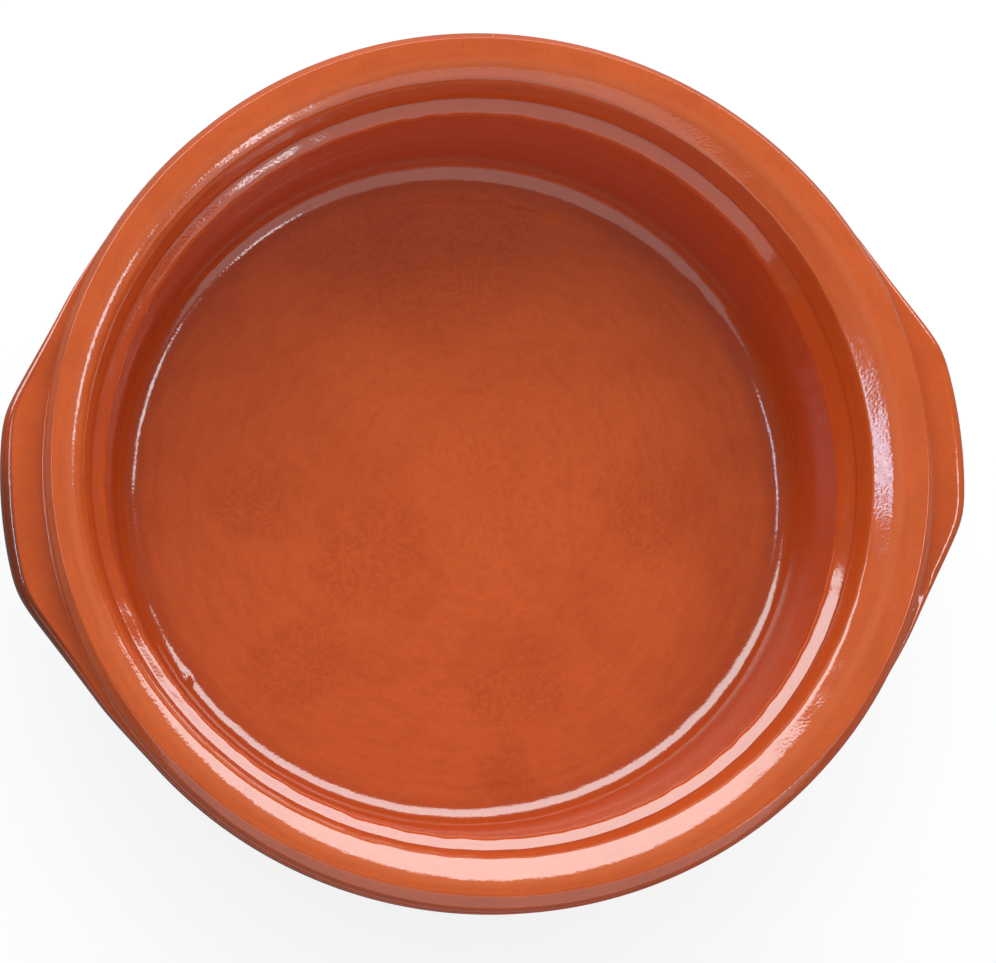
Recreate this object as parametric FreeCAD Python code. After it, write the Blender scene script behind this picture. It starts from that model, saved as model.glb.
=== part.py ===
"""Round earthenware cazuela: a shallow cooking dish with two ear lugs, thrown and fired as one piece.

Frame: the origin is the middle of the underside, +Z is up and +X runs through the lugs. All sizes in mm.
"""
import FreeCAD, Part
import math
import os

# Overall sizes
RIM_WIDTH = 230.0         # outside of the rim, without the lugs
HEIGHT = 60.0             # table to the top of the rim
FLOOR_THICKNESS = 7.4

# Inside of the dish, from the rim down to the floor
RIM_LAND = 7.8            # flat top of the rim with its rounded outer edge
BEVEL_EDGE = 1.6          # narrow band that eases the top of the rim into the bevel
BEVEL_RUN = 5.3           # sloping inner face of the rim
BEVEL_RISE = 3.8
COLLAR_RUN = 1.0          # steep band under the bevel
COLLAR_RISE = 8.4
LEDGE_RUN = 3.5           # narrow sloping ledge under the collar
LEDGE_RISE = 3.2
LEDGE_EASING = 2.2        # band that eases the ledge into the wall
WALL_FLARE = 7.8          # how much wider the wall is at the ledge than at the floor
FLOOR_CORNER = 9.0        # radius where the floor turns up into the wall

# Throwing rings left by the potter's fingers on the inner wall
RING_COUNT = 2
RING_DEPTH = 0.35         # crest to trough
RING_BARE_FOOT = 12.0     # smooth band of wall below the rings

# Outside of the dish
WALL_THICKNESS = 7.5
HEEL_BEVEL = 5.0          # edge under the wall, trimmed away with a knife
RIM_SHOULDER = 3.4        # radius of the rim's outer edge
RIM_FACE = 2.2            # plain upright face below the shoulder
GROOVE_WIDTH = 1.9        # thin groove scraped under the rim
GROOVE_DEPTH = 0.9
BEAD_HEIGHT = 6.4         # bead below the groove, which the lugs grow out of
BEAD_EASING = 1.5         # height over which the bead's edges slope
BEAD_PROUD = 0.8          # how far the bead swells past the rim
FLANGE_DROP = 5.5         # height over which the bead falls back to the wall

# Ear lugs
LUG_REACH = 12.1          # middle of the lug past the rim
LUG_BOW = 2.7             # how far the middle of its end bows out past its corners
LUG_CORNER_WIDTH = 44.0   # from corner to corner
LUG_CORNER_SOFTNESS = 0.9 # how widely the corners are rounded
LUG_ROOT_WIDTH = 109.0    # where the straight flanks run into the rim
LUG_NOSE_HEIGHT = 8.4     # thickness at the outer edge
LUG_UNDER_FALL = 4.6      # how much thicker the lug is at the wall
LUG_TOP_EDGE = 3.0        # radius of the rounded upper edge
LUG_TOP_LIFT = 0.3        # how far its upper face stands above the foot of the groove
LUG_END_ANGLE = math.radians(31)   # half of the sector that a lug is built over
LUG_END_HEIGHT = 0.92     # thickness of the buried ends, as a share of the bead
LUG_SECTIONS = 9

# Parts that a round edge is built in
ARC_PARTS = 2
LUG_ARC_PARTS = 5

NODE = "cazuela_dish"
AXIS = FreeCAD.Vector(0, 0, 1)
ORIGIN = FreeCAD.Vector(0, 0, 0)
FULL_TURN = 360.0

rim_radius = RIM_WIDTH / 2
floor_level = FLOOR_THICKNESS
bevel_radius = rim_radius - RIM_LAND
collar_top_radius = bevel_radius - BEVEL_RUN
collar_top_level = HEIGHT - BEVEL_RISE
ledge_radius = collar_top_radius - COLLAR_RUN
ledge_level = collar_top_level - COLLAR_RISE
wall_top_radius = ledge_radius - LEDGE_RUN
wall_top_level = ledge_level - LEDGE_RISE
wall_foot_radius = wall_top_radius - WALL_FLARE
wall_lean = math.atan2(WALL_FLARE, wall_top_level - floor_level)
groove_level = HEIGHT - RIM_SHOULDER - RIM_FACE
bead_level = groove_level - GROOVE_WIDTH
bead_foot_level = bead_level - BEAD_HEIGHT
lug_level = bead_level + LUG_TOP_LIFT
flange_foot_level = bead_foot_level - FLANGE_DROP


def point(radius, level):
    """A point of the half section, in the XZ plane."""
    return FreeCAD.Vector(radius, 0, level)


def inner_wall_radius(level):
    """Radius of the plain inner wall, without its rings, at a level."""
    return wall_foot_radius + (level - floor_level) * math.tan(wall_lean)


def outer_wall_radius(level):
    """Radius of the outer wall at a level: the inner wall moved out by the wall's thickness."""
    return inner_wall_radius(level) + WALL_THICKNESS


def mid_wall_radius(level):
    """Radius of the middle of the wall at a level."""
    return inner_wall_radius(level) + WALL_THICKNESS / 2


def line(start, end):
    """A straight edge."""
    return Part.LineSegment(start, end).toShape()


def split_arc(start, middle, end, parts):
    """A round edge through three points in equal parts, which turn into far fewer facets than one."""
    curve = Part.Arc(start, middle, end)
    first = curve.FirstParameter
    share = (curve.LastParameter - first) / parts
    return [curve.toShape(first + share * index, first + share * (index + 1)) for index in range(parts)]


def rounded_corner(before, corner, after, radius):
    """The two tangent points and the middle of the arc that rounds a corner of an outline."""
    to_before = (before - corner).normalize()
    to_after = (after - corner).normalize()
    half = to_before.getAngle(to_after) / 2
    setback = radius / math.tan(half)
    inward = (to_before + to_after).normalize()
    middle = corner + inward * (radius / math.sin(half) - radius)
    return corner + to_before * setback, middle, corner + to_after * setback


def eased_corner(before, corner, after, setback):
    """The two ends of the narrow flat that takes a corner of an outline off."""
    return corner + (before - corner).normalize() * setback, corner + (after - corner).normalize() * setback


def chain(points):
    """Straight edges from each point to the next."""
    return [line(start, end) for start, end in zip(points, points[1:])]


def ringed_wall(foot, top):
    """The inner wall from its foot to its top: a bare band, then shallow rings from trough to crest."""
    ring_start = foot.z + RING_BARE_FOOT
    half_ring = (top.z - ring_start) / (2 * RING_COUNT)
    points = [foot]
    for step in range(2 * RING_COUNT):
        level = ring_start + half_ring * step
        crest = RING_DEPTH * (step % 2)
        points.append(point(inner_wall_radius(level) - crest, level))
    points.append(top)
    return chain(points)


def inside_edges():
    """The inside of the half section, from the middle of the floor to the top of the rim."""
    floor_middle = point(0, floor_level)
    corner = point(wall_foot_radius, floor_level)
    wall_top = point(wall_top_radius, wall_top_level)
    ledge = point(ledge_radius, ledge_level)
    collar_top = point(collar_top_radius, collar_top_level)
    bevel_corner = point(bevel_radius, HEIGHT)
    rim_top = point(rim_radius - RIM_SHOULDER, HEIGHT)
    floor_edge, corner_middle, wall_foot = rounded_corner(floor_middle, corner, wall_top, FLOOR_CORNER)
    rings_top, ledge_foot = eased_corner(corner, wall_top, ledge, LEDGE_EASING / 2)
    bevel_top, rim_inner = eased_corner(collar_top, bevel_corner, rim_top, BEVEL_EDGE / 2)
    return [
        line(floor_middle, floor_edge),
        *split_arc(floor_edge, corner_middle, wall_foot, ARC_PARTS),
        *ringed_wall(wall_foot, rings_top),
        *chain([rings_top, ledge_foot, ledge, collar_top, bevel_top, rim_inner, rim_top]),
    ]


def outside_edges():
    """The outside of the half section, from the top of the rim to the middle of the underside."""
    rim_top = point(rim_radius - RIM_SHOULDER, HEIGHT)
    shoulder_lean = RIM_SHOULDER * math.sqrt(0.5)
    shoulder_middle = point(rim_top.x + shoulder_lean, HEIGHT - RIM_SHOULDER + shoulder_lean)
    shoulder_foot = point(rim_radius, HEIGHT - RIM_SHOULDER)
    groove_top = point(rim_radius, groove_level)
    groove_high = point(rim_radius - GROOVE_DEPTH, groove_level - GROOVE_WIDTH / 3)
    groove_low = point(rim_radius - GROOVE_DEPTH, groove_level - GROOVE_WIDTH * 2 / 3)
    bead_top = point(rim_radius, bead_level)
    bead_high = point(rim_radius + BEAD_PROUD, bead_level - BEAD_EASING)
    bead_low = point(rim_radius + BEAD_PROUD, bead_foot_level + BEAD_EASING)
    bead_foot = point(rim_radius, bead_foot_level)
    flange_foot = point(outer_wall_radius(flange_foot_level), flange_foot_level)
    base_corner = point(outer_wall_radius(0), 0)
    wall_end = base_corner + (flange_foot - base_corner).normalize() * HEEL_BEVEL
    base_edge = point(base_corner.x - HEEL_BEVEL, 0)
    return [
        *split_arc(rim_top, shoulder_middle, shoulder_foot, ARC_PARTS),
        *chain([shoulder_foot, groove_top, groove_high, groove_low, bead_top]),
        *chain([bead_top, bead_high, bead_low, bead_foot, flange_foot, wall_end, base_edge, ORIGIN]),
    ]


def thrown_body():
    """The dish as it leaves the wheel: its half section turned about the axis, from beside the lugs."""
    closing = line(ORIGIN, point(0, floor_level))
    section = Part.Wire(inside_edges() + outside_edges() + [closing])
    section.rotate(ORIGIN, AXIS, FULL_TURN / 4)
    return Part.Face(section).revolve(ORIGIN, AXIS, FULL_TURN)


def crossing(angle, start, end):
    """Radius at which the ray at an angle meets the straight line through two points seen from above."""
    across = FreeCAD.Vector(-math.sin(angle), math.cos(angle), 0)
    share = -start.dot(across) / (end - start).dot(across)
    return (start + (end - start) * share).Length


def lug_edge_radius(angle):
    """Radius of the lug's edge from above: straight flanks, rounded corners and a bowed end."""
    half_root = LUG_ROOT_WIDTH / 2
    root = FreeCAD.Vector(math.sqrt(rim_radius ** 2 - half_root ** 2), half_root, 0)
    tip = rim_radius + LUG_REACH
    corner = FreeCAD.Vector(tip - LUG_BOW, LUG_CORNER_WIDTH / 2, 0)
    bow_radius = (corner.y ** 2 + LUG_BOW ** 2) / (2 * LUG_BOW)
    bow_centre = tip - bow_radius
    flank = crossing(abs(angle), root, corner)
    end = bow_centre * math.cos(angle) + math.sqrt(bow_radius ** 2 - (bow_centre * math.sin(angle)) ** 2)
    gap = (flank - end) / LUG_CORNER_SOFTNESS
    return min(flank, end) - LUG_CORNER_SOFTNESS * math.log1p(math.exp(-abs(gap)))


def lug_section(angle):
    """The lug cut by an upright plane through the axis: flat top, round nose and an underside that
    falls back to the wall. It thins towards the ends, where it sinks into the bead."""
    fullness = math.cos(math.pi / 2 * angle / LUG_END_ANGLE) ** 2
    nose_height = BEAD_HEIGHT * LUG_END_HEIGHT + (LUG_NOSE_HEIGHT - BEAD_HEIGHT * LUG_END_HEIGHT) * fullness
    root_height = nose_height + LUG_UNDER_FALL * fullness
    tip = lug_edge_radius(angle)
    lean = math.sqrt(0.5)
    under_edge = nose_height - LUG_TOP_EDGE
    nose_level = lug_level - LUG_TOP_EDGE
    top_start = point(tip - LUG_TOP_EDGE, lug_level)
    top_middle = point(tip - LUG_TOP_EDGE * (1 - lean), nose_level + LUG_TOP_EDGE * lean)
    nose = point(tip, nose_level)
    under_middle = point(tip - under_edge * (1 - lean), nose_level - under_edge * lean)
    under_end = point(tip - under_edge, lug_level - nose_height)
    top_back = point(mid_wall_radius(lug_level), lug_level)
    under_back = point(mid_wall_radius(lug_level - root_height), lug_level - root_height)
    section = Part.Wire([
        line(top_back, top_start),
        *split_arc(top_start, top_middle, nose, LUG_ARC_PARTS),
        *split_arc(nose, under_middle, under_end, LUG_ARC_PARTS),
        *chain([under_end, under_back, top_back]),
    ])
    section.rotate(ORIGIN, AXIS, math.degrees(angle))
    return section


def ear_lug():
    """One lug at +X: its sections lofted from end to end around the rim."""
    half_steps = LUG_SECTIONS // 2
    angles = [LUG_END_ANGLE * step / half_steps for step in range(-half_steps, half_steps + 1)]
    return Part.makeLoft([lug_section(angle) for angle in angles], True, False)


def cazuela():
    """The whole dish: the thrown body with its two lugs."""
    lug = ear_lug()
    other_lug = lug.copy()
    other_lug.rotate(ORIGIN, AXIS, FULL_TURN / 2)
    return thrown_body().fuse([lug, other_lug]).Solids[0]


def main():
    """Build the dish and write it out."""
    os.makedirs("parts", exist_ok=True)
    dish = cazuela()
    print(NODE, "valid", dish.isValid(), "volume", round(dish.Volume), "box", dish.BoundBox)
    dish.exportStep(f"parts/{NODE}.step")


main()
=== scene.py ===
"""Looks of a glazed earthenware cazuela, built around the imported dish.

Frame: the origin is the middle of the underside, +Z is up and +X runs through the ear lugs.
Sizes are in metres where nothing else is said.
"""
import logging
import math
from dataclasses import dataclass, field
from enum import Enum

import bpy
import numpy as np
from mathutils import Matrix, Vector


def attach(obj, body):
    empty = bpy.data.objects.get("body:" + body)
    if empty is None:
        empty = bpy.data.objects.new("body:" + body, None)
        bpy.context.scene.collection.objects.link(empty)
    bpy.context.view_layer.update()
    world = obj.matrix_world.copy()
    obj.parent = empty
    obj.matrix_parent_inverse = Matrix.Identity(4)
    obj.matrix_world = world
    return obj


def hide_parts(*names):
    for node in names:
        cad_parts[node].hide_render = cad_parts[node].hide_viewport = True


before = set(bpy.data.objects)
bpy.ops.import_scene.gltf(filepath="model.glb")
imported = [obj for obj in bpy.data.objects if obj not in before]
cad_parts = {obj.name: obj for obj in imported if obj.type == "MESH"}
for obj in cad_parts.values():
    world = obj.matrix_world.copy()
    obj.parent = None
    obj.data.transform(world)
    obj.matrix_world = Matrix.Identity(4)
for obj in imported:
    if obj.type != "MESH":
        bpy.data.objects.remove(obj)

log = logging.getLogger("cazuela")

MM = 0.001
MICRON = 1e-6
FLOOR_LEVEL = 7.4 * MM
DISH_NODE = "cazuela_dish"
PICTURE_WIDTH = 996

Colour = tuple[float, float, float, float]
Span = tuple[float, float]
Triple = tuple[float, float, float]
Socket = bpy.types.NodeSocket
Feed = float | tuple[float, ...] | Socket


def bell(centre: float | np.ndarray, half_width: float, value: np.ndarray) -> np.ndarray:
    """Round swelling: e to the power of less the squared distance from the centre in half widths.

    Args:
        centre: Where the swelling is highest.
        half_width: Distance at which it has fallen to about a third.
        value: Where it is asked for.

    Returns:
        The height of the swelling, between 0 and 1.
    """
    return np.exp(-(((value - centre) / half_width) ** 2))


def turned_bell(middle: float, half_width: float, turn: np.ndarray) -> np.ndarray:
    """Round swelling about one turn of the dish.

    Args:
        middle: Where the swelling is highest, in degrees.
        half_width: Angle at which it has fallen to about a third, in degrees.
        turn: Angles round the axis, in radians.

    Returns:
        The height of the swelling, between 0 and 1.
    """
    away = (turn - math.radians(middle) + math.pi) % (2 * math.pi) - math.pi
    return bell(0.0, math.radians(half_width), away)


def ramp(low: float, high: float, value: np.ndarray) -> np.ndarray:
    """Straight ramp of a value, from 0 at low to 1 at high."""
    return np.clip((value - low) / (high - low), 0.0, 1.0)


class Cover(Enum):
    """How the glaze lies on a corner of the section."""

    THIN = 1.0
    EVEN = 0.0
    POOLED = -1.0


@dataclass(frozen=True)
class Corner:
    """One corner of the half section, with its place at every turn.

    Attributes:
        radius: Distance from the axis at each turn.
        level: Height at each turn.
        easing: How far from the corner its rounding starts.
        round_steps: Rows of points on the rounding.
        run_steps: Rows of points on the straight run to the next corner.
        cover: How the glaze lies on it.
    """

    radius: np.ndarray
    level: np.ndarray
    easing: np.ndarray
    round_steps: int
    run_steps: int
    cover: Cover


@dataclass(frozen=True)
class Wobble:
    """Uneven turning: a sum of waves round the dish, each with its count, its height and its place.

    Attributes:
        waves: For each wave, its number of crests, its height and the turn of a crest in degrees.
    """

    waves: tuple[tuple[int, float, float], ...] = ()

    @classmethod
    def rough(cls, seed: int, low: int, high: int, height: float) -> "Wobble":
        """A fine, irregular unevenness from sixteen waves of even strength.

        Args:
            seed: Seed of the waves' counts and places.
            low: Fewest crests round the dish.
            high: Most crests round the dish.
            height: Usual size of the sum.

        Returns:
            The unevenness.
        """
        draw = np.random.default_rng(seed)
        counts = draw.integers(low, high, 16)
        crests = draw.uniform(0.0, 360.0, 16)
        part = height * math.sqrt(2.0 / 16.0)
        return cls(tuple((int(count), part, float(crest)) for count, crest in zip(counts, crests)))

    def at(self, turn: np.ndarray) -> np.ndarray:
        """Sum of height times the cosine of count times the turn from the crest."""
        total = np.zeros_like(turn)
        for count, height, crest in self.waves:
            total = total + height * np.cos(count * (turn - math.radians(crest)))
        return total


@dataclass(frozen=True)
class Dent:
    """A small flaw of the clay: a spot of the surface that is pushed in or out. Lengths are in millimetres.

    Attributes:
        turn: Where it lies round the dish, in degrees.
        radius: Its distance from the axis.
        level: Its height.
        round_spread: Its half width round the dish.
        across_spread: Its half width across.
        push_out: How far the middle moves from the axis.
        push_up: How far the middle moves up.
    """

    turn: float
    radius: float
    level: float
    round_spread: float
    across_spread: float
    push_out: float
    push_up: float

    def shift(self, turn: np.ndarray, rows: np.ndarray) -> np.ndarray:
        """The push times e to the power of less the squared distance from the middle, in half widths.

        Args:
            turn: Angles round the axis.
            rows: Radius and level of every point.

        Returns:
            How far every point moves out and up.
        """
        away = (turn - math.radians(self.turn) + math.pi) % (2 * math.pi) - math.pi
        around = away * self.radius / self.round_spread
        across = (rows[:, :, 0] / MM - self.radius) ** 2 + (rows[:, :, 1] / MM - self.level) ** 2
        strength = np.exp(-(around**2)[None, :] - across / self.across_spread**2)
        return strength[:, :, None] * np.array([self.push_out, self.push_up]) * MM


@dataclass
class EarLug:
    """The two ear lugs as a wave of the bead: straight flanks, soft corners and a bowed end.

    Attributes:
        rim_radius: Outside of the rim.
        reach: Middle of the lug past the rim.
        corner_reach: Corners of the lug past the rim.
        corner_width: From corner to corner.
        corner_softness: How widely the corners are rounded.
        facing: Which way a flank faces, as an angle from the lug's middle.
        root: Sector in which the flanks run out into the bead, as two angles from the lug's middle.
        root_softness: How widely the flanks run into the bead.
        nose_height: Thickness at the outer edge.
        top_edge: Easing of the upper edge.
        lift: How far its upper face stands above the bead.
        end_angle: Half of the sector that a lug fills.
    """

    rim_radius: float = 115.0 * MM
    reach: float = 10.7 * MM
    corner_reach: float = 8.4 * MM
    corner_width: float = 47.0 * MM
    corner_softness: float = 0.9 * MM
    facing: float = math.radians(33.0)
    root: Span = (math.radians(26.0), math.radians(36.0))
    root_softness: float = 1.2 * MM
    nose_height: float = 9.0 * MM
    top_edge: float = 3.3 * MM
    lift: float = 0.25 * MM
    end_angle: float = math.radians(31.0)

    def nearest_turn(self, turn: np.ndarray) -> np.ndarray:
        """Turn from the middle of the nearer lug, between less and plus a quarter turn."""
        return (turn + math.pi / 2) % math.pi - math.pi / 2

    def edge_radius(self, turn: np.ndarray) -> np.ndarray:
        """Outline from above: the soft minimum of a ray's crossings with the flank line and the end's arc.

        The flank line's crossing is its distance from the axis over the cosine of the angle between the ray
        and the flank's facing. Beyond the facing it stays at that distance.

        Args:
            turn: Angles round the axis.

        Returns:
            Distance of the lug's edge from the axis.
        """
        off = np.abs(self.nearest_turn(turn))
        corner = np.array([self.rim_radius + self.corner_reach, self.corner_width / 2])
        distance = corner[0] * math.cos(self.facing) + corner[1] * math.sin(self.facing)
        flank = distance / np.cos(self.facing - np.minimum(off, self.facing))
        tip = self.rim_radius + self.reach
        bow = tip - corner[0]
        bow_radius = (corner[1] ** 2 + bow**2) / (2 * bow)
        bow_centre = tip - bow_radius
        under_root = np.maximum(bow_radius**2 - (bow_centre * np.sin(off)) ** 2, 0.0)
        end = bow_centre * np.cos(off) + np.sqrt(under_root)
        gap = np.abs(flank - end) / self.corner_softness
        return np.minimum(flank, end) - self.corner_softness * np.log1p(np.exp(-gap))

    def outer_radius(self, turn: np.ndarray, bead_radius: np.ndarray, rim: np.ndarray) -> np.ndarray:
        """Edge of the bead and the lugs together: their soft maximum, and the bead alone past the roots.

        Args:
            turn: Angles round the axis.
            bead_radius: Edge of the bead at each turn.
            rim: Unevenness of the rim at each turn.

        Returns:
            Distance of the common edge from the axis.
        """
        proud = self.edge_radius(turn) + rim - bead_radius
        swell = self.root_softness * np.log1p(np.exp(proud / self.root_softness))
        share = ramp(*self.root, np.abs(self.nearest_turn(turn)))
        return bead_radius + swell * (1.0 - share**2 * (3.0 - 2.0 * share))

    def fullness(self, turn: np.ndarray) -> np.ndarray:
        """Squared cosine across the lug's sector, and 0 beyond it."""
        share = ramp(0.0, self.end_angle, np.abs(self.nearest_turn(turn)))
        return np.cos(math.pi / 2 * share) ** 2


@dataclass(frozen=True)
class Rows:
    """The points of the section at every turn.

    Attributes:
        place: Radius and level, shaped rows by turns by 2.
        cover: For each row, from -1 where the glaze has pooled to 1 where it is thin.
        corner: For each row, the number of the corner before it.
        wall_share: For each row, its place on the inner wall from 0 at the floor to 1 at the ledge, else -1.
    """

    place: np.ndarray
    cover: np.ndarray
    corner: np.ndarray
    wall_share: np.ndarray


@dataclass
class ThrownSection:
    """Half section of the dish, from the middle of the floor over the rim to the middle of the underside.

    A radius or level without a line here places the part that it is named after, an easing rounds its
    corner, and a wobble or rough is its unevenness round the dish.

    Attributes:
        ledge_foot_radius: Inner edge of the ledge.
        ledge_fade: How far that edge sinks where the ledge fades.
        ledge_fade_place: Middle and half width of the fading, in degrees.
        wall_top_radius: Where the ledge meets the collar.
        bevel_foot: How far past the collar the bevel starts.
        bevel_slope: Rise of the bevel over its width.
        bevel_step: Least height of its start over the collar.
        shoulder_radius: Outer edge of the rim's flat land.
        shoulder_swing: How much that edge's easing changes round the dish.
        bead_proud: How far the bead stands past the rim.
        nose_share: Easing under a lug over its thickness.
        flange_foot_level: Where the bead's underside meets the outer wall.
        outer_lean: How far the outer wall leans out for each metre up.
        outer_share: Share of the rim's unevenness that it keeps.
        run_cover: Share of its corners' cover that a run keeps.
        run_limit: Largest easing over the length of the shorter run.
        floor_crowding: Power by which the floor's rows crowd toward its edge.
        ring_swellings: For each throwing ring, its level, its half width and its push inward.
        ring_sway: Heights of the two waves on which the rings run.
        ring_fade: Share of the rings that is missing at +X, and the half width of that in degrees.
        ripple: Middle radius, half width, height and length of a fine wave on the floor.
    """

    rim_radius: float = 115.0 * MM
    height: float = 60.0 * MM
    floor_level: float = FLOOR_LEVEL
    floor_radius: float = 92.8 * MM
    floor_easing: float = 10.0 * MM
    ledge_foot_radius: float = 96.1 * MM
    ledge_foot_level: float = 45.95 * MM
    ledge_fade: float = 4.0 * MM
    ledge_fade_place: Span = (10.0, 34.0)
    wall_top_radius: float = 99.9 * MM
    wall_top_level: float = 47.8 * MM
    collar_radius: float = 101.75 * MM
    collar_level: float = 56.2 * MM
    bevel_foot: float = 0.8 * MM
    bevel_slope: float = 0.5
    bevel_step: float = 0.4 * MM
    bevel_radius: float = 106.9 * MM
    bevel_level: float = 59.3 * MM
    shoulder_radius: float = 112.6 * MM
    shoulder_easing: float = 0.40 * MM
    shoulder_swing: float = 0.25 * MM
    shoulder_foot_level: float = 57.4 * MM
    groove_level: float = 54.4 * MM
    groove_width: float = 1.9 * MM
    groove_depth: float = 1.0 * MM
    bead_height: float = 6.4 * MM
    bead_proud: float = 0.7 * MM
    bead_easing: float = 1.5 * MM
    nose_share: float = 0.55
    flange_foot_level: float = 40.6 * MM
    heel_bevel: float = 3.6 * MM
    outer_foot_radius: float = 97.1 * MM
    outer_lean: float = 0.21
    outer_share: float = 0.5
    run_cover: float = 0.3
    run_limit: float = 0.48
    floor_crowding: float = 1.7
    ring_swellings: tuple[Triple, ...] = (
        (34.8 * MM, 1.8 * MM, 0.20 * MM),
        (28.0 * MM, 2.8 * MM, 0.30 * MM),
    )
    ring_sway: Span = (0.5 * MM, 0.35 * MM)
    ring_fade: Span = (0.8, 50.0)
    ripple: tuple[float, float, float, float] = (80.0 * MM, 7.0 * MM, 0.05 * MM, 3.4 * MM)
    rim_wobble: Wobble = Wobble(((2, 0.90 * MM, 4.0), (3, 0.23 * MM, -24.0)))
    bevel_wobble: Wobble = Wobble(((1, 1.32 * MM, -163.0), (2, 0.98 * MM, 19.0), (3, 0.36 * MM, 53.0)))
    collar_wobble: Wobble = Wobble(((1, 2.54 * MM, 177.0), (2, 0.96 * MM, 8.0), (3, 0.61 * MM, -53.0)))
    floor_wobble: Wobble = Wobble(((1, 2.33 * MM, 169.0), (2, 0.92 * MM, 0.0), (3, 0.22 * MM, -37.0)))
    shoulder_wobble: Wobble = Wobble(((1, 0.70 * MM, 100.0), (2, 0.50 * MM, 0.0)))
    ledge_rough: Wobble = field(default_factory=lambda: Wobble.rough(3, 30, 120, 0.07 * MM))
    foot_rough: Wobble = field(default_factory=lambda: Wobble.rough(5, 8, 60, 0.10 * MM))
    edge_rough: Wobble = field(default_factory=lambda: Wobble.rough(7, 12, 70, 0.03 * MM))

    def outer_wall_radius(self, level: float) -> float:
        """Radius of the outer wall at a level: its foot plus the lean times the level."""
        return self.outer_foot_radius + level * self.outer_lean

    def corners(self, turn: np.ndarray, lug: EarLug) -> list[Corner]:
        """The corners of the section at each turn, in order.

        Args:
            turn: Angles round the axis.
            lug: The ear lugs, which push the bead's outer corners out.

        Returns:
            The corners from the middle of the floor to the middle of the underside.
        """
        rim = self.rim_wobble.at(turn)
        bevel = self.bevel_wobble.at(turn) + self.edge_rough.at(turn)
        collar = self.collar_wobble.at(turn) + self.edge_rough.at(turn + 1.0)
        base = self.floor_wobble.at(turn)
        shoulder = self.shoulder_wobble.at(turn)
        outside = rim * self.outer_share
        flat = np.zeros_like(turn)
        full = lug.fullness(turn)
        swell = lug.outer_radius(turn, self.rim_radius + self.bead_proud + rim, rim)
        bead_top = self.groove_level - self.groove_width + lug.lift * full
        drop = self.bead_height + (lug.nose_height - self.bead_height) * full
        top_easing = self.bead_easing + (lug.top_edge - self.bead_easing) * full
        under_easing = self.bead_easing + (drop * self.nose_share - self.bead_easing) * full
        foot = self.outer_wall_radius(self.flange_foot_level)
        heel_radius = self.outer_wall_radius(self.heel_bevel)
        ground = self.outer_wall_radius(0.0) - self.heel_bevel
        lip = self.rim_radius + rim
        groove_middle = self.groove_level - self.groove_width / 2
        ledge = self.ledge_rough.at(turn)
        ledge_level = self.ledge_foot_level - self.ledge_fade * turned_bell(*self.ledge_fade_place, turn)
        foot_easing = self.floor_easing + self.foot_rough.at(turn)
        shoulder_easing = self.shoulder_easing - self.shoulder_swing * np.sin(turn)
        bevel_start = self.collar_radius + self.bevel_foot + collar
        bevel_drop = self.bevel_slope * (self.bevel_radius + bevel - bevel_start)
        bevel_foot_level = np.maximum(self.bevel_level - bevel_drop, self.collar_level + self.bevel_step)

        def corner(
            radius: float | np.ndarray,
            level: float | np.ndarray,
            easing: float | np.ndarray,
            steps: tuple[int, int],
            cover: Cover = Cover.EVEN,
        ) -> Corner:
            """A corner whose single numbers are spread over every turn."""
            return Corner(radius + flat, level + flat, easing + flat, steps[0], steps[1], cover)

        return [
            corner(0.0, self.floor_level, 0.0, (0, 34)),
            corner(self.floor_radius + base, self.floor_level, foot_easing, (14, 36), Cover.POOLED),
            corner(self.ledge_foot_radius + collar + ledge, ledge_level, 1.3 * MM, (6, 4)),
            corner(self.wall_top_radius + collar, self.wall_top_level, 0.7 * MM, (5, 6), Cover.POOLED),
            corner(self.collar_radius + collar, self.collar_level, 1.2 * MM, (5, 2), Cover.THIN),
            corner(bevel_start, bevel_foot_level, 1.3 * MM, (5, 4)),
            corner(self.bevel_radius + bevel, self.bevel_level, 1.9 * MM, (6, 3), Cover.THIN),
            corner(self.shoulder_radius + rim + shoulder, self.height, shoulder_easing, (4, 3)),
            corner(lip, self.shoulder_foot_level, 1.2 * MM, (5, 2)),
            corner(lip, self.groove_level, 0.5 * MM, (3, 2)),
            corner(lip - self.groove_depth, groove_middle, 0.5 * MM, (4, 2), Cover.POOLED),
            corner(lip, bead_top, 0.4 * MM, (3, 8)),
            corner(swell, bead_top, top_easing, (8, 2)),
            corner(swell, bead_top - drop, under_easing, (8, 8), Cover.POOLED),
            corner(foot + outside, self.flange_foot_level, 2.5 * MM, (6, 12)),
            corner(heel_radius + outside, self.heel_bevel, 1.2 * MM, (4, 2)),
            corner(ground + outside, 0.0, 1.2 * MM, (4, 10)),
            corner(0.0, 0.0, 0.0, (0, 0)),
        ]

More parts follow.
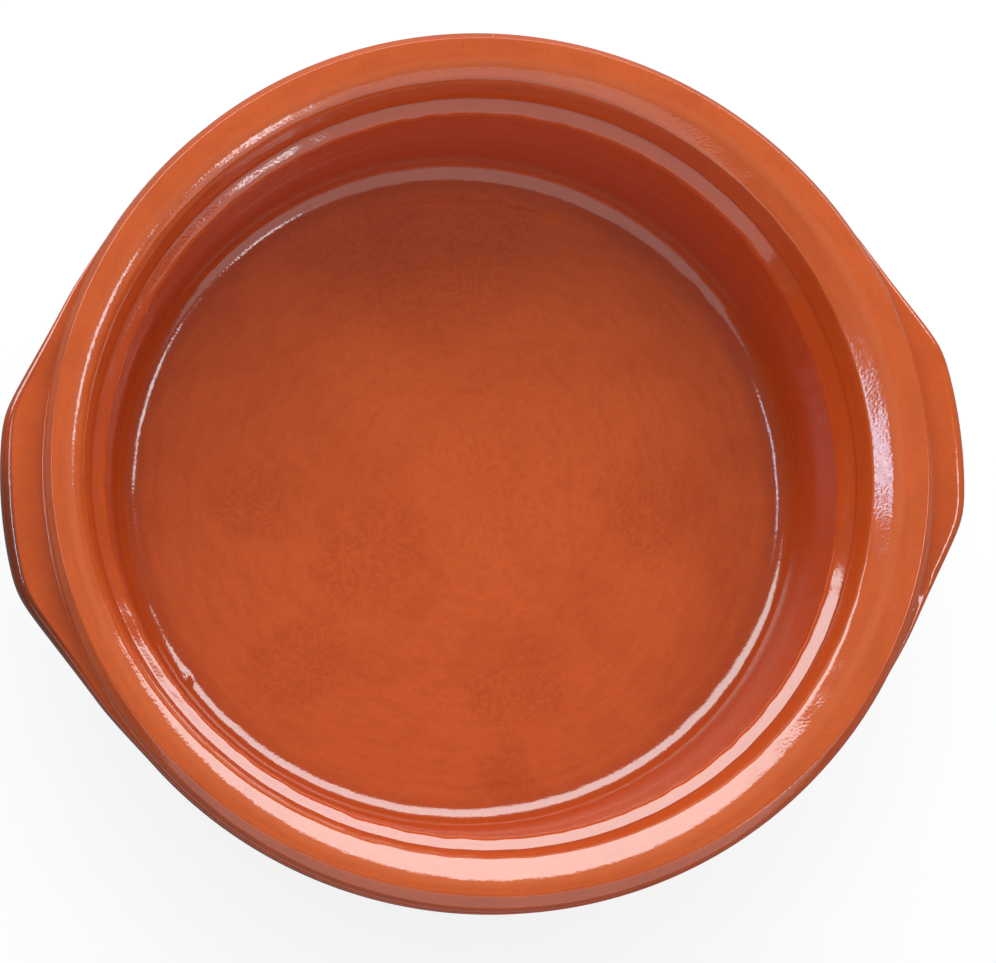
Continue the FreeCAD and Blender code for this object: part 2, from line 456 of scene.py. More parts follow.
    def rows(self, turn: np.ndarray, lug: EarLug) -> Rows:
        """Rows of points along the section: straight runs between corners that are rounded by parabolas.

        A rounding starts and ends at the corner's easing, held under a limit of the shorter run, and its
        point at share t is (1 - t) squared times its start, plus 2 t (1 - t) times the corner, plus t
        squared times its end. The floor's rows crowd toward its edge.

        Args:
            turn: Angles round the axis.
            lug: The ear lugs.

        Returns:
            The rows.
        """
        listed = self.corners(turn, lug)
        place = np.stack([np.stack([c.radius, c.level], axis=1) for c in listed])
        run = np.diff(place, axis=0)
        length = np.linalg.norm(run, axis=2)
        along = run / length[:, :, None]
        starts, ends = [place[0]], [place[0]]
        for index in range(1, len(listed) - 1):
            limit = self.run_limit * np.minimum(length[index - 1], length[index])
            ease = np.minimum(listed[index].easing, limit)[:, None]
            starts.append(place[index] - along[index - 1] * ease)
            ends.append(place[index] + along[index] * ease)
        starts.append(place[-1])
        ends.append(place[-1])
        marks = [c.cover.value for c in listed]
        shared = [0.0] + [self.run_cover * (one + other) for one, other in zip(marks[1:], marks[2:])]
        pieces = [place[:1]]
        cover = [np.zeros(1)]
        number = [np.zeros(1, int)]
        wall = [-np.ones(1)]
        for index in range(len(listed) - 1):
            count = listed[index].run_steps
            share = np.arange(1, count + 1) / count
            if index == 0:
                share = 1.0 - (1.0 - share) ** self.floor_crowding
            spread = share[:, None, None]
            pieces.append(ends[index] * (1 - spread) + starts[index + 1] * spread)
            cover.append(np.full(count, shared[index]))
            number.append(np.full(count, index))
            wall.append(share if index == 1 else -np.ones(count))
            rounds = listed[index + 1].round_steps
            if rounds:
                share = np.arange(1, rounds + 1) / rounds
                spread = share[:, None, None]
                pieces.append(
                    starts[index + 1] * (1 - spread) ** 2
                    + place[index + 1] * 2 * spread * (1 - spread)
                    + ends[index + 1] * spread**2
                )
                sides = shared[index] * (1 - share) + shared[index + 1] * share
                peak = 4 * share * (1 - share)
                cover.append(sides * (1 - peak) + marks[index + 1] * peak)
                number.append(np.full(rounds, index + 1))
                wall.append(-np.ones(rounds))
        found = Rows(*(np.concatenate(part) for part in (pieces, cover, number, wall)))
        self.raise_rings(turn, found)
        return found

    def raise_rings(self, turn: np.ndarray, rows: Rows) -> None:
        """Add the throwing rings: bells of the level on the wall, and a fine wave near the floor's edge.

        Args:
            turn: Angles round the axis.
            rows: The rows, which are changed in place.
        """
        on_wall = rows.wall_share >= 0.0
        level = rows.place[on_wall][:, :, 1]
        swelling = np.zeros_like(level)
        missing, missing_width = self.ring_fade
        strength = 1.0 - missing * turned_bell(0.0, missing_width, turn)
        slow, quick = self.ring_sway
        for index, (centre, half_width, push) in enumerate(self.ring_swellings):
            sway = slow * np.cos(turn - 0.9 * index) + quick * np.cos(3 * turn + index)
            swelling += push * strength * bell(centre + sway, half_width, level)
        share = rows.wall_share[on_wall]
        fade = np.minimum(1.0, 6.0 * np.minimum(share, 1.0 - share))
        rows.place[on_wall, :, 0] -= swelling * fade[:, None]
        on_floor = rows.corner == 0
        radius = rows.place[on_floor][:, :, 0]
        middle, half_width, height, length = self.ripple
        wave = np.cos(2 * math.pi * radius / length + turn)
        rows.place[on_floor, :, 1] += height * bell(middle, half_width, radius) * wave


@dataclass(frozen=True)
class Hairline:
    """A fine crack of the glaze.

    Attributes:
        start: One end in millimetres.
        finish: The other end in millimetres.
        width: Its width in millimetres.
    """

    start: Triple
    finish: Triple
    width: float


@dataclass
class NodeDesk:
    """Short ways to place and join the nodes of one tree.

    Attributes:
        tree: The node tree.
    """

    tree: bpy.types.NodeTree

    def put(self, kind: str, sockets: dict[str | int, Feed], **settings: object) -> bpy.types.Node:
        """Place a node.

        Args:
            kind: The node's type without its first word.
            sockets: For each input, a value or the output that feeds it.
            settings: The node's own settings.

        Returns:
            The node.
        """
        node = self.tree.nodes.new("ShaderNode" + kind)
        for name, value in settings.items():
            setattr(node, name, value)
        for name, value in sockets.items():
            if isinstance(value, Socket):
                self.tree.links.new(value, node.inputs[name])
            else:
                node.inputs[name].default_value = value
        return node

    def maths(self, operation: str, first: Feed, second: Feed = 0.0, third: Feed = 0.0) -> Socket:
        """Result of one operation on numbers."""
        return self.put("Math", {0: first, 1: second, 2: third}, operation=operation).outputs[0]

    def blend(self, share: Feed, first: Feed, second: Feed) -> Socket:
        """Mixture of two colours."""
        return self.put("Mix", {0: share, 6: first, 7: second}, data_type="RGBA").outputs[2]

    def tinted(self, colour: Feed, tint: Colour, mask: Feed, strength: float) -> Socket:
        """A colour with another mixed in, by a mask times a strength."""
        return self.blend(self.maths("MULTIPLY", mask, strength), colour, tint)

    def step(self, value: Feed, low: float, high: float, floor: float = 0.0, top: float = 1.0) -> Socket:
        """Soft step of a value, from floor at low to top at high."""
        sockets = {"Value": value, "From Min": low, "From Max": high, "To Min": floor, "To Max": top}
        return self.put("MapRange", sockets, interpolation_type="SMOOTHSTEP").outputs[0]

    def noise(self, place: Feed, scale: float, detail: float = 2.0, swirl: float = 0.0) -> Socket:
        """Cloudy noise, from 0 to 1 and mostly near a half."""
        sockets = {"Vector": place, "Scale": scale, "Detail": detail, "Distortion": swirl}
        return self.put("TexNoise", sockets).outputs["Fac"]

    def carried(self, name: str) -> bpy.types.Node:
        """Node that reads a number or vector kept on the mesh."""
        return self.put("Attribute", {}, attribute_name=name)


class HairlineGroup:
    """Node group that draws one hairline: 1 near the segment from Start along Way, and 0 away from it."""

    def build(self) -> bpy.types.NodeTree:
        """Make the group.

        Returns:
            The group, with Place, Start, Way, Length and Width in, and Mask out.
        """
        group = bpy.data.node_groups.new("hairline", "ShaderNodeTree")
        inputs = {"Place": "Vector", "Start": "Vector", "Way": "Vector", "Length": "Float", "Width": "Float"}
        for name, kind in inputs.items():
            group.interface.new_socket(name=name, in_out="INPUT", socket_type="NodeSocket" + kind)
        group.interface.new_socket(name="Mask", in_out="OUTPUT", socket_type="NodeSocketFloat")
        desk = NodeDesk(group)
        given = group.nodes.new("NodeGroupInput").outputs
        away = desk.put("VectorMath", {0: given["Place"], 1: given["Start"]}, operation="SUBTRACT")
        along = desk.put("VectorMath", {0: away.outputs[0], 1: given["Way"]}, operation="DOT_PRODUCT")
        held = desk.maths("MAXIMUM", desk.maths("MINIMUM", along.outputs["Value"], given["Length"]), 0.0)
        nearest = desk.put("VectorMath", {0: given["Way"], 3: held}, operation="SCALE")
        gap = desk.put("VectorMath", {0: away.outputs[0], 1: nearest.outputs[0]}, operation="DISTANCE")
        share = desk.maths("DIVIDE", gap.outputs["Value"], given["Width"])
        mask = desk.step(share, 0.25, 0.9, 1.0, 0.0)
        result = group.nodes.new("NodeGroupOutput")
        group.links.new(mask, result.inputs["Mask"])
        return group


@dataclass(frozen=True)
class GlazedFinish:
    """Glossy glaze over red clay, bare underneath.

    Attributes:
        clay: Colour where the glaze is of usual thickness.
        deep: Colour where it has run thick.
        thin: Colour where it is drawn thin over an edge.
        swirl: Colour of the darker swirls on the floor.
        wall: Painted shade of the inner wall, a darker and more saturated red that stands in for its shade
            and the orange light thrown back in the hollow.
        painted_lug_shade: Painted shade on the left lug's outer edge, a dark brown for the side that faces
            away from the light.
        bare: Colour of the unglazed clay.
        dust: Colour of the pale specks.
        cloud_strength: How much of a tint is mixed in where its mask is full, as are the other strengths.
        speck_size: Radius of a speck in cells.
        speck_rarity: Share of the cells that have no speck.
        refraction: Index of refraction of the glaze.
        peel_height: Height of the glaze's peel in micrometres.
        throw_height: The same for the ripples left by throwing.
        clay_tooth: The same for the bare clay's grain.
        glaze_tooth: The same for the glaze's grain.
        patches: For each darker patch of the floor, its place and its radius in millimetres; the last,
            widest one is a painted shade at the floor's +Y edge, where the wall beside it shades the floor.
        hairlines: The fine cracks.
    """

    clay: Colour = (0.57, 0.086, 0.015, 1.0)
    deep: Colour = (0.33, 0.034, 0.005, 1.0)
    thin: Colour = (0.58, 0.120, 0.040, 1.0)
    # swirl: Colour of the darker swirls on the floor, also used for the painted shade at its +Y edge.
    swirl: Colour = (0.43, 0.052, 0.007, 1.0)
    # Painted shade: the inner wall's deeper, more saturated red stands in for shade and bounce light in the
    # hollow.
    wall: Colour = (0.50, 0.048, 0.0035, 1.0)
    # Painted shade: a dark brown for the left lug's outer edge, which faces away from the light.
    painted_lug_shade: Colour = (0.13, 0.020, 0.005, 1.0)
    bare: Colour = (0.52, 0.20, 0.095, 1.0)
    dust: Colour = (0.80, 0.52, 0.38, 1.0)
    cloud_strength: float = 0.38
    streak_strength: float = 0.16
    grain_strength: float = 0.15
    thin_strength: float = 0.55
    wall_shade_strength: float = 0.75
    pooled_strength: float = 0.60
    painted_lug_shade_strength: float = 0.85
    dust_strength: float = 0.7
    crack_strength: float = 0.75
    speck_size: float = 0.045
    speck_rarity: float = 0.90
    refraction: float = 1.8
    peel_height: float = 40.0
    throw_height: float = 14.0
    clay_tooth: float = 60.0
    glaze_tooth: float = 20.0
    patches: tuple[Triple, ...] = (
        (-26.6, -14.0, 19.0),
        (-58.0, 2.3, 16.0),
        (49.2, -7.3, 20.0),
        (-49.2, -42.2, 15.0),
        (7.5, -52.0, 18.0),
        (5.5, -78.0, 10.0),
        # Painted shade: darkens the floor at its +Y edge, where the wall beside it casts its shadow.
        (-8.0, 80.0, 48.0),
    )
    hairlines: tuple[Hairline, ...] = (
        Hairline((-96.0, -69.5, 57.0), (-87.0, -63.0, 60.0), 0.30),
        Hairline((-110.4, 43.4, 52.8), (-106.4, 38.0, 54.5), 0.28),
        Hairline((2.0, 114.6, 57.0), (1.2, 109.6, 60.0), 0.28),
    )

    def material(self) -> bpy.types.Material:
        """Build the material.

        Returns:
            The node-based material.
        """
        material = bpy.data.materials.new("glazed_earthenware")
        material.use_nodes = True
        desk = NodeDesk(material.node_tree)
        shader = material.node_tree.nodes["Principled BSDF"]
        place = desk.put("TexCoord", {}).outputs["Object"]
        round_place = desk.carried("round_place").outputs["Vector"]
        cover = desk.carried("cover").outputs["Fac"]
        above = desk.carried("above_glaze_edge").outputs["Fac"]
        fine = desk.noise(place, 700.0, 2.0)
        ragged = desk.maths("MULTIPLY_ADD", fine, 1.6 * MM, above)
        bare = desk.step(ragged, 0.6 * MM, 1.0 * MM, 1.0, 0.0)
        colour = self.colour(desk, place, round_place, cover, fine)
        colour = desk.tinted(colour, self.dust, self.specks(desk, place), self.dust_strength)
        colour = desk.tinted(colour, self.deep, self.cracks(desk, place), self.crack_strength)
        clay = desk.blend(desk.step(fine, 0.35, 0.7), self.bare, self.thin)
        colour = desk.blend(bare, colour, clay)
        gloss = desk.step(fine, 0.3, 0.7, 0.07, 0.12)
        dulled = desk.step(desk.carried("inner_wall").outputs["Fac"], 0.5, 1.0, 0.02, 0.28)
        gloss = desk.maths("ADD", dulled, gloss)
        rough = desk.put("Mix", {0: bare, 2: gloss, 3: 0.85}, data_type="FLOAT").outputs[0]
        links = material.node_tree.links
        links.new(colour, shader.inputs["Base Color"])
        links.new(rough, shader.inputs["Roughness"])
        links.new(self.relief(desk, place, round_place, above), shader.inputs["Normal"])
        shader.inputs["IOR"].default_value = self.refraction
        return material

    def colour(self, desk: NodeDesk, place: Feed, round_place: Feed, cover: Feed, fine: Feed) -> Socket:
        """Clay colour with clouds, thrown streaks, swirls on the floor, pale edges and pooled glaze, and
        painted shade on the floor's +Y edge, the inner wall and the left lug's outer edge.

        Args:
            desk: The material's nodes.
            place: Object coordinates.
            round_place: The vector that stretches a pattern round the dish.
            cover: From -1 where the glaze has pooled to 1 where it is thin; lower than -1 on the left lug's
                outer edge, which gets a painted shade.
            fine: A fine noise.

        Returns:
            The colour.
        """
        cloud = desk.step(desk.noise(place, 24.0, 2.0, 1.0), 0.40, 0.72)
        streak = desk.step(desk.noise(round_place, 420.0, 1.0), 0.42, 0.68)
        grain = desk.step(fine, 0.38, 0.68)
        hair = desk.step(desk.noise(place, 230.0, 3.0, 4.0), 0.42, 0.62)
        strands = desk.maths("MULTIPLY_ADD", hair, 0.45, 0.15)
        # Swirls on the floor, and a painted shade at its +Y edge.
        swirls_and_shade = desk.maths("MULTIPLY", self.patched(desk, place), strands)
        edges = desk.maths("MAXIMUM", cover, 0.0)
        inner_wall = desk.carried("inner_wall").outputs["Fac"]
        colour = desk.tinted(self.clay, self.swirl, cloud, self.cloud_strength)
        colour = desk.tinted(colour, self.deep, streak, self.streak_strength)
        colour = desk.blend(swirls_and_shade, colour, self.swirl)
        colour = desk.tinted(colour, self.deep, grain, self.grain_strength)
        colour = desk.tinted(colour, self.thin, edges, self.thin_strength)
        # Painted shade deepens the inner wall.
        colour = desk.tinted(colour, self.wall, inner_wall, self.wall_shade_strength)
        colour = desk.blend(desk.step(cover, -1.0, 0.0, self.pooled_strength, 0.0), colour, self.deep)
        # Painted shade on the left lug's outer edge, where the cover falls below -1.
        return desk.blend(desk.step(cover, -2.2, -1.0, self.painted_lug_shade_strength, 0.0), colour, self.painted_lug_shade)

    def patched(self, desk: NodeDesk, place: Feed) -> Socket:
        """Mask of the floor's darker patches, whose outlines waver, with the widest one a painted shade at
        the floor's +Y edge.

        Args:
            desk: The material's nodes.
            place: Object coordinates.

        Returns:
            The highest of the patches' masks.
        """
        uneven = desk.maths("MULTIPLY_ADD", desk.noise(place, 75.0, 2.0), 26.0 * MM, -13.0 * MM)
        total = 0.0
        for x, y, radius in self.patches:
            middle = (x * MM, y * MM, FLOOR_LEVEL)
            gap = desk.put("VectorMath", {0: place, 1: middle}, operation="DISTANCE").outputs["Value"]
            gap = desk.maths("ADD", gap, uneven)
            total = desk.maths("MAXIMUM", desk.step(gap, 0.55 * radius * MM, radius * MM, 1.0, 0.0), total)
        return total

    def specks(self, desk: NodeDesk, place: Feed) -> Socket:
        """Mask of the pale specks of dust: a small round spot in a few cells.

        Args:
            desk: The material's nodes.
            place: Object coordinates.

        Returns:
            The mask.
        """
        cell = desk.put("TexVoronoi", {"Vector": place, "Scale": 95.0})
        chance = desk.put("SeparateColor", {0: cell.outputs["Color"]}).outputs[0]
        spot = desk.step(cell.outputs["Distance"], self.speck_size * 0.5, self.speck_size, 1.0, 0.0)
        return desk.maths("MULTIPLY", spot, desk.maths("GREATER_THAN", chance, self.speck_rarity))

    def cracks(self, desk: NodeDesk, place: Feed) -> Socket:
        """Mask of all the hairlines.

        Args:
            desk: The material's nodes.
            place: Object coordinates.

        Returns:
            The highest of the hairlines' masks.
        """
        group = HairlineGroup().build()
        ripple = desk.put("TexNoise", {"Vector": place, "Scale": 420.0, "Detail": 1.0})
        middle = (0.5, 0.5, 0.5)
        lean = desk.put("VectorMath", {0: ripple.outputs["Color"], 1: middle}, operation="SUBTRACT")
        sway = desk.put("VectorMath", {0: lean.outputs[0], 3: 1.6 * MM}, operation="SCALE")
        swayed = desk.put("VectorMath", {0: place, 1: sway.outputs[0]}, operation="ADD")
        total = 0.0
        for line in self.hairlines:
            start = Vector(line.start) * MM
            way = Vector(line.finish) * MM - start
            node = desk.put("Group", {}, node_tree=group)
            desk.tree.links.new(swayed.outputs[0], node.inputs["Place"])
            node.inputs["Start"].default_value = start
            node.inputs["Way"].default_value = way.normalized()
            node.inputs["Length"].default_value = way.length
            node.inputs["Width"].default_value = line.width * MM
            total = desk.maths("MAXIMUM", node.outputs["Mask"], total)
        return total

    def relief(self, desk: NodeDesk, place: Feed, round_place: Feed, above: Feed) -> Socket:
        """Fine relief: peel of the glaze, ripples left by throwing and a grain that is coarser on bare clay.

        Args:
            desk: The material's nodes.
            place: Object coordinates.
            round_place: The vector that stretches a pattern round the dish.
            above: Height over the glaze's edge.

        Returns:
            The normal.
        """
        peel = desk.noise(place, 160.0, 0.0)
        teeth = desk.noise(place, 1400.0, 0.0)
        throwing = desk.noise(round_place, 340.0, 0.0)
        tooth = desk.step(above, 0.0, 1.0 * MM, self.clay_tooth, self.glaze_tooth)
        height = desk.maths("MULTIPLY", peel, self.peel_height)
        height = desk.maths("MULTIPLY_ADD", teeth, tooth, height)
        height = desk.maths("MULTIPLY_ADD", throwing, self.throw_height, height)
        return desk.put("Bump", {"Strength": 1.0, "Distance": MICRON, "Height": height}).outputs[0]


@dataclass
class Cazuela:
    """The whole dish as one closed surface on a grid of rows along the section and turns about the axis.

    Attributes:
        section: The half section.
        lug: The ear lugs.
        finish: The glaze and the clay.
        turns: Columns of points round the dish.
        glaze_edge: Height on the outer wall where the glaze ends.
        glaze_wave: Unevenness of that edge.
        glazed_height: Height over that edge that the inside is given, where all is glazed.
        collar_corner: Number of the last corner that the inner wall's painted shade reaches.
        bead_corner: Number of the bead's upper corner.
        painted_lug_shade_drop: How far the cover falls on the left lug's outer edge, which gives it a
            painted shade.
        painted_lug_shade_place: Middle and half width of that painted shade, in degrees.
        wall_foot: Levels between which the inner wall's painted shade comes up.
        wall_ledge: Levels between which it falls to a half.
        wall_end: Levels between which it ends.
        stretch_radius: Radius of the stretched place's circle.
        dents: The small flaws.
    """

    section: ThrownSection = field(default_factory=ThrownSection)
    lug: EarLug = field(default_factory=EarLug)
    finish: GlazedFinish = field(default_factory=GlazedFinish)
    turns: int = 400
    glaze_edge: float = 22.0 * MM
    glaze_wave: Wobble = field(default_factory=lambda: Wobble.rough(11, 2, 14, 1.8 * MM))
    glazed_height: float = 30.0 * MM
    collar_corner: int = 4
    bead_corner: int = 12
    # Painted shade on the left lug's outer edge: how far the cover drops there, and where.
    painted_lug_shade_drop: float = 2.2
    painted_lug_shade_place: Span = (188.0, 22.0)
    wall_foot: Span = (9.0 * MM, 15.0 * MM)
    wall_ledge: Span = (41.0 * MM, 45.0 * MM)
    wall_end: Span = (53.0 * MM, 56.0 * MM)
    stretch_radius: float = 20.0 * MM
    dents: tuple[Dent, ...] = (
        Dent(-141.1, 103.0, 56.5, 2.4, 1.0, -0.35, 0.30),
        Dent(-144.3, 105.0, 58.9, 0.9, 3.0, 0.0, -0.06),
        Dent(-151.5, 92.0, 9.4, 1.1, 1.3, -0.55, 0.35),
        Dent(89.2, 111.6, 59.9, 1.3, 1.3, 0.0, -0.30),
        Dent(43.0, 102.6, 57.2, 2.2, 2.0, 0.08, -0.07),
        Dent(39.5, 102.4, 57.2, 2.0, 2.0, 0.08, -0.07),
        Dent(-90.5, 104.0, 58.0, 2.2, 0.9, 0.0, -0.03),
        Dent(-19.6, 119.5, 52.5, 1.0, 1.2, 0.0, 0.35),
        Dent(-21.6, 118.2, 52.4, 0.9, 1.0, 0.0, -0.35),
        Dent(-17.8, 120.6, 52.5, 0.8, 1.0, 0.0, -0.25),
    )

    def build(self) -> bpy.types.Object:
        """Make the mesh, dress it and set it on the body.

        Returns:
            The finished piece.
        """
        turn = np.linspace(0.0, 2 * math.pi, self.turns, endpoint=False)
        rows = self.section.rows(turn, self.lug)
        shifts = sum(dent.shift(turn, rows.place) for dent in self.dents)
        place = rows.place + shifts
        radius = place[:, :, 0]
        grid = np.stack([radius * np.cos(turn), radius * np.sin(turn), place[:, :, 1]], axis=2)
        piece = self.mesh_object(self.joined(grid), len(place) - 2)
        self.keep_attributes(piece.data, turn, rows, place)
        piece.data.materials.append(self.finish.material())
        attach(piece, "root")
        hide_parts(DISH_NODE)
        log.info("%s: %d points, %d faces", piece.name, len(piece.data.vertices), len(piece.data.polygons))
        return piece

    def joined(self, grid: np.ndarray) -> np.ndarray:
        """The grid's points as one list, with a single point for each pole."""
        return np.concatenate([grid[0, :1], grid[1:-1].reshape(-1, grid.shape[2]), grid[-1, :1]])

    def keep_attributes(self, mesh: bpy.types.Mesh, turn: np.ndarray, rows: Rows, place: np.ndarray) -> None:
        """Keep what the material reads: cover, height over the glaze's edge, inner wall, stretched place.

        The stretched place is the turn's point on a small circle, raised by the length along the section,
        so a pattern on it runs about five times as far round the rim as across it.

        Args:
            mesh: The dish's mesh.
            turn: Angles round the axis.
            rows: The rows before the flaws.
            place: Radius and level of every point.
        """
        steps = np.linalg.norm(np.diff(place.mean(axis=1), axis=0), axis=1)
        travel = np.concatenate([[0.0], np.cumsum(steps)])
        nose = (rows.corner == self.bead_corner) | (rows.corner == self.bead_corner + 1)
        # Lower the cover on the left lug's outer edge, where the material paints shade.
        cover = rows.cover[:, None] - self.painted_lug_shade_drop * nose[:, None] * turned_bell(*self.painted_lug_shade_place, turn)
        level = place[:, :, 1]
        edge = self.glaze_edge + self.glaze_wave.at(turn)
        outside = (rows.corner >= self.bead_corner)[:, None]
        above = np.where(outside, level - edge, self.glazed_height)
        ways = (self.stretch_radius * np.cos(turn), self.stretch_radius * np.sin(turn), travel[:, None])
        stretched = self.joined(np.stack(np.broadcast_arrays(*ways), axis=2))
        # Mask of the inner wall, where the material paints shade and dulls the gloss.
        rising = ramp(*self.wall_foot, level) * (1.0 - ramp(*self.wall_end, level))
        rising = rising * (1.0 - 0.5 * ramp(*self.wall_ledge, level))
        inner_wall = rising * (rows.corner <= self.collar_corner)[:, None]
        for name, values in (("cover", cover), ("above_glaze_edge", above), ("inner_wall", inner_wall)):
            kept = mesh.attributes.new(name, "FLOAT", "POINT")
            kept.data.foreach_set("value", self.joined(values[:, :, None]).ravel().astype(np.float32))
        kept = mesh.attributes.new("round_place", "FLOAT_VECTOR", "POINT")
        kept.data.foreach_set("vector", stretched.ravel().astype(np.float32))

    def mesh_object(self, points: np.ndarray, rings: int) -> bpy.types.Object:
        """Join the points with quads between neighbouring rings and fans at both poles.

        Args:
            points: The first pole, the rings in order and the last pole.
            rings: How many rings of points there are.

        Returns:
            A smooth-shaded object.
        """
        turns = self.turns
        here = np.arange(turns)
        after = (here + 1) % turns
        ring = 1 + np.arange(rings - 1)[:, None] * turns
        near, far = ring + here, ring + after
        quads = np.stack([near, near + turns, far + turns, far], axis=2).reshape(-1, 4)
        first = np.stack([np.zeros(turns, int), 1 + here, 1 + after], axis=1)
        last_ring = 1 + (rings - 1) * turns
        last = np.stack([last_ring + here, np.full(turns, last_ring + turns), last_ring + after], axis=1)
        mesh = bpy.data.meshes.new("glazed_dish")
        faces = first.tolist() + quads.tolist() + last.tolist()
        mesh.from_pydata(points.tolist(), [], faces)
        mesh.update()
        mesh.polygons.foreach_set("use_smooth", np.ones(len(faces), bool))
        piece = bpy.data.objects.new("glazed_dish", mesh)
        bpy.context.scene.collection.objects.link(piece)
        return piece


@dataclass
class Viewpoint:
    """Camera at the photograph's angle.

    Attributes:
        focal: Focal length in picture widths.
        axis: The dish's axis seen by the camera: right, down and forward.
        lug_turn: Turn of the lugs against the picture's level, counterclockwise.
        aim: The point of the axis that the camera was fitted to.
        aim_seen: Where the camera sees that point: right, down and forward.
    """

    focal: float = 3000.0 / PICTURE_WIDTH
    axis: Triple = (0.1720, -0.1549, -0.9728)
    lug_turn: float = math.radians(4.38)
    aim: Triple = (0.0, 0.0, 0.052)
    aim_seen: Triple = (-0.00046, -0.00399, 0.77476)

    def build(self) -> bpy.types.Object:
        """Place the camera and make it the scene's own.

        Returns:
            The camera.
        """
        up = Vector(self.axis).normalized()
        across = Vector((math.cos(self.lug_turn), -math.sin(self.lug_turn), 0.0))
        across.z = -(across.x * up.x + across.y * up.y) / up.z
        across.normalize()
        depth = up.cross(across)
        dish_from_seen = Matrix((across, depth, up))
        place = Vector(self.aim) - dish_from_seen @ Vector(self.aim_seen)
        right_above_back = ((1.0, 0.0, 0.0), (0.0, -1.0, 0.0), (0.0, 0.0, -1.0))
        turned = Matrix([dish_from_seen @ Vector(way) for way in right_above_back]).transposed().to_4x4()
        data = bpy.data.cameras.new("viewpoint")
        data.sensor_fit = "HORIZONTAL"
        data.sensor_width = 36.0
        data.lens = self.focal * data.sensor_width
        data.clip_start = 0.01
        camera = bpy.data.objects.new("viewpoint", data)
        camera.matrix_world = Matrix.Translation(place) @ turned
        bpy.context.scene.collection.objects.link(camera)
        bpy.context.scene.camera = camera
        log.info("camera at %s", [round(value, 3) for value in place])
        return camera


class Outline(Enum):
    """Outline of a lamp's panel."""

    SQUARE = "RECTANGLE"
    ROUND = "ELLIPSE"


@dataclass(frozen=True)
class Lamp:
    """One soft panel of light that faces the dish.

    Attributes:
        name: Name of the lamp.
        bearing: Turn of its place from +X, in degrees.
        rise: Height angle of its place above the table, in degrees.
        distance: How far it stands from the dish.
        width: Its width.
        height: Its height.
        radiance: How bright its face is, where 1 is white.
        tint: Its colour.
        outline: Its outline.
        mirrored: Whether the glaze mirrors it.
        aim_level: Level of the point on the dish's axis that it faces.
    """

    name: str
    bearing: float
    rise: float
    distance: float
    width: float
    height: float
    radiance: float
    tint: Triple = (1.0, 1.0, 1.0)
    outline: Outline = Outline.SQUARE
    mirrored: bool = True
    aim_level: float = 0.05

    def build(self) -> bpy.types.Object:
        """Place the lamp and turn it to the dish. Its power is pi times its area times its radiance."""
        bearing = math.radians(self.bearing)
        rise = math.radians(self.rise)
        level_share = math.cos(rise)
        toward = Vector((math.cos(bearing) * level_share, math.sin(bearing) * level_share, math.sin(rise)))
        area = self.width * self.height
        if self.outline is Outline.ROUND:
            area *= math.pi / 4
        data = bpy.data.lights.new(self.name, "AREA")
        data.shape = self.outline.value
        data.size = self.width
        data.size_y = self.height
        data.energy = math.pi * area * self.radiance
        data.color = self.tint
        lamp = bpy.data.objects.new(self.name, data)
        lamp.location = Vector((0.0, 0.0, self.aim_level)) + toward * self.distance
        lamp.rotation_euler = toward.to_track_quat("Z", "Y").to_euler()
        lamp.visible_camera = False
        lamp.visible_glossy = self.mirrored
        bpy.context.scene.collection.objects.link(lamp)
        return lamp


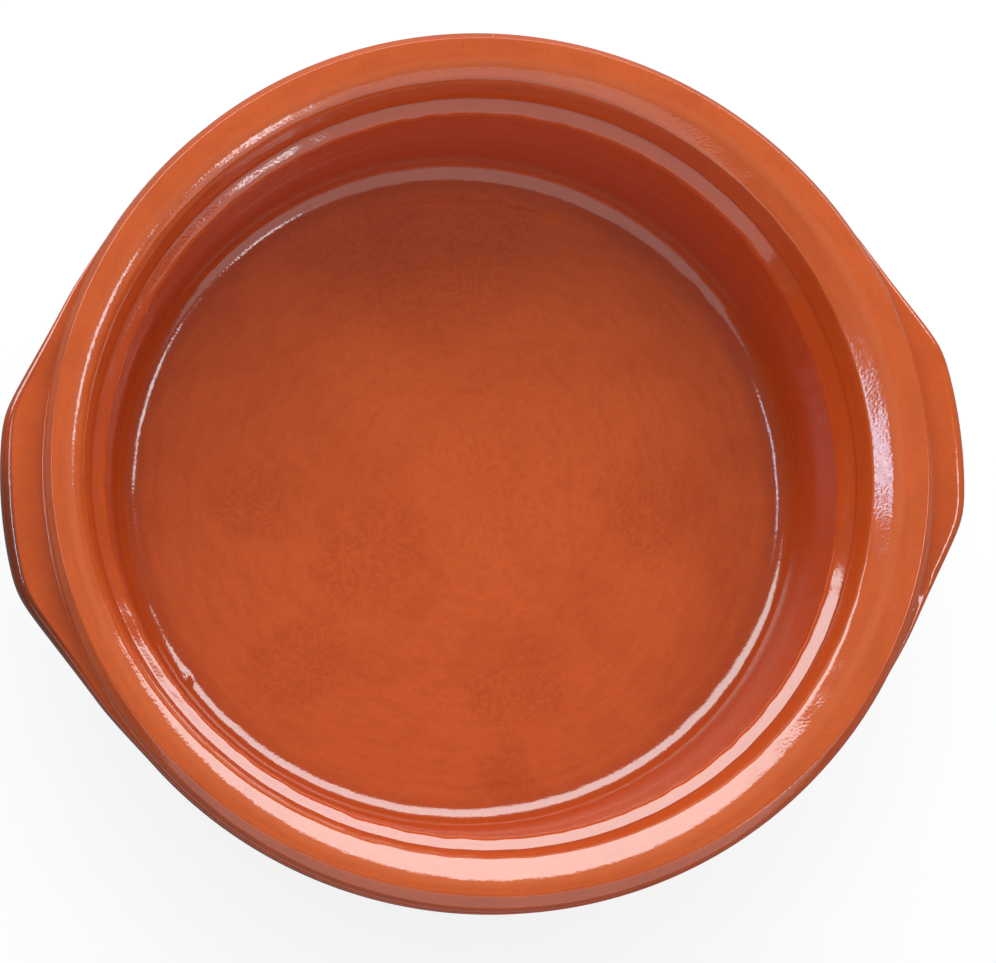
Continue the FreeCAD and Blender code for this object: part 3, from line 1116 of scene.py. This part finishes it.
@dataclass
class Studio:
    """Pale floor, plain world and soft lamps.

    Attributes:
        floor_size: Side of the floor.
        floor_shade: Share of the light that the floor throws back.
        floor_white: Glow that is added to it for the camera alone.
        world_level: Light of the world.
        lamps: The lamps.
    """

    floor_size: float = 4.0
    floor_shade: float = 0.20
    floor_white: float = 0.80
    world_level: float = 0.12
    lamps: tuple[Lamp, ...] = (
        Lamp("window_far", 88.0, 36.0, 0.9, 2.4, 0.50, 5.2, (0.86, 1.0, 1.02)),
        Lamp("wall_near", 270.0, 35.0, 1.0, 3.0, 1.15, 0.75),
        Lamp("window_left", 164.0, 60.0, 1.0, 0.34, 0.09, 9.0, (0.45, 0.75, 1.0), Outline.ROUND),
        Lamp("window_right", 357.0, 50.0, 1.0, 0.28, 0.14, 7.0, (0.80, 0.92, 1.0), Outline.ROUND),
        Lamp("window_corner", 324.0, 52.0, 1.0, 0.16, 0.10, 8.0, (0.92, 0.95, 1.0), Outline.ROUND),
        Lamp("ceiling", 60.0, 84.0, 1.3, 1.3, 1.3, 0.60, mirrored=False),
    )

    def build(self) -> None:
        """Lay the floor, set the world and hang the lamps."""
        self.lay_floor()
        self.set_world()
        for lamp in self.lamps:
            lamp.build()
        log.info("studio with %d lamps", len(self.lamps))

    def lay_floor(self) -> None:
        """A wide floor that looks white to the camera and keeps the dish's shadow."""
        half = self.floor_size / 2
        mesh = bpy.data.meshes.new("floor")
        square = [(-half, -half, 0), (half, -half, 0), (half, half, 0), (-half, half, 0)]
        mesh.from_pydata(square, [], [(0, 1, 2, 3)])
        floor = bpy.data.objects.new("floor", mesh)
        bpy.context.scene.collection.objects.link(floor)
        material = bpy.data.materials.new("pale_floor")
        material.use_nodes = True
        tree = material.node_tree
        shader = tree.nodes["Principled BSDF"]
        shade = self.floor_shade
        shader.inputs["Base Color"].default_value = (shade, shade, shade, 1.0)
        shader.inputs["Roughness"].default_value = 0.9
        shader.inputs["Specular IOR Level"].default_value = 0.0
        desk = NodeDesk(tree)
        seen = desk.put("LightPath", {}).outputs["Is Camera Ray"]
        glow = desk.put("Emission", {"Strength": desk.maths("MULTIPLY", seen, self.floor_white)})
        total = desk.put("AddShader", {0: shader.outputs[0], 1: glow.outputs[0]})
        tree.links.new(total.outputs[0], tree.nodes["Material Output"].inputs["Surface"])
        mesh.materials.append(material)

    def set_world(self) -> None:
        """A plain pale world, white to the camera."""
        world = bpy.data.worlds.new("studio_air")
        bpy.context.scene.world = world
        world.use_nodes = True
        tree = world.node_tree
        air = tree.nodes["Background"]
        air.inputs["Color"].default_value = (1.0, 1.0, 1.0, 1.0)
        air.inputs["Strength"].default_value = self.world_level
        desk = NodeDesk(tree)
        backdrop = desk.put("Background", {"Color": (1.0, 1.0, 1.0, 1.0)})
        seen = desk.put("LightPath", {}).outputs["Is Camera Ray"]
        choice = desk.put("MixShader", {0: seen, 1: air.outputs[0], 2: backdrop.outputs[0]})
        tree.links.new(choice.outputs[0], tree.nodes["World Output"].inputs["Surface"])


def main() -> None:
    """Build the camera, the dish and the studio, and note the sizes."""
    logging.basicConfig(level=logging.INFO, format="%(name)s: %(message)s")
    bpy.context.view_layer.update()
    bpy.context.scene.view_settings.view_transform = "Standard"
    Viewpoint().build()
    Cazuela().build()
    Studio().build()


if __name__ == "__main__":
    main()
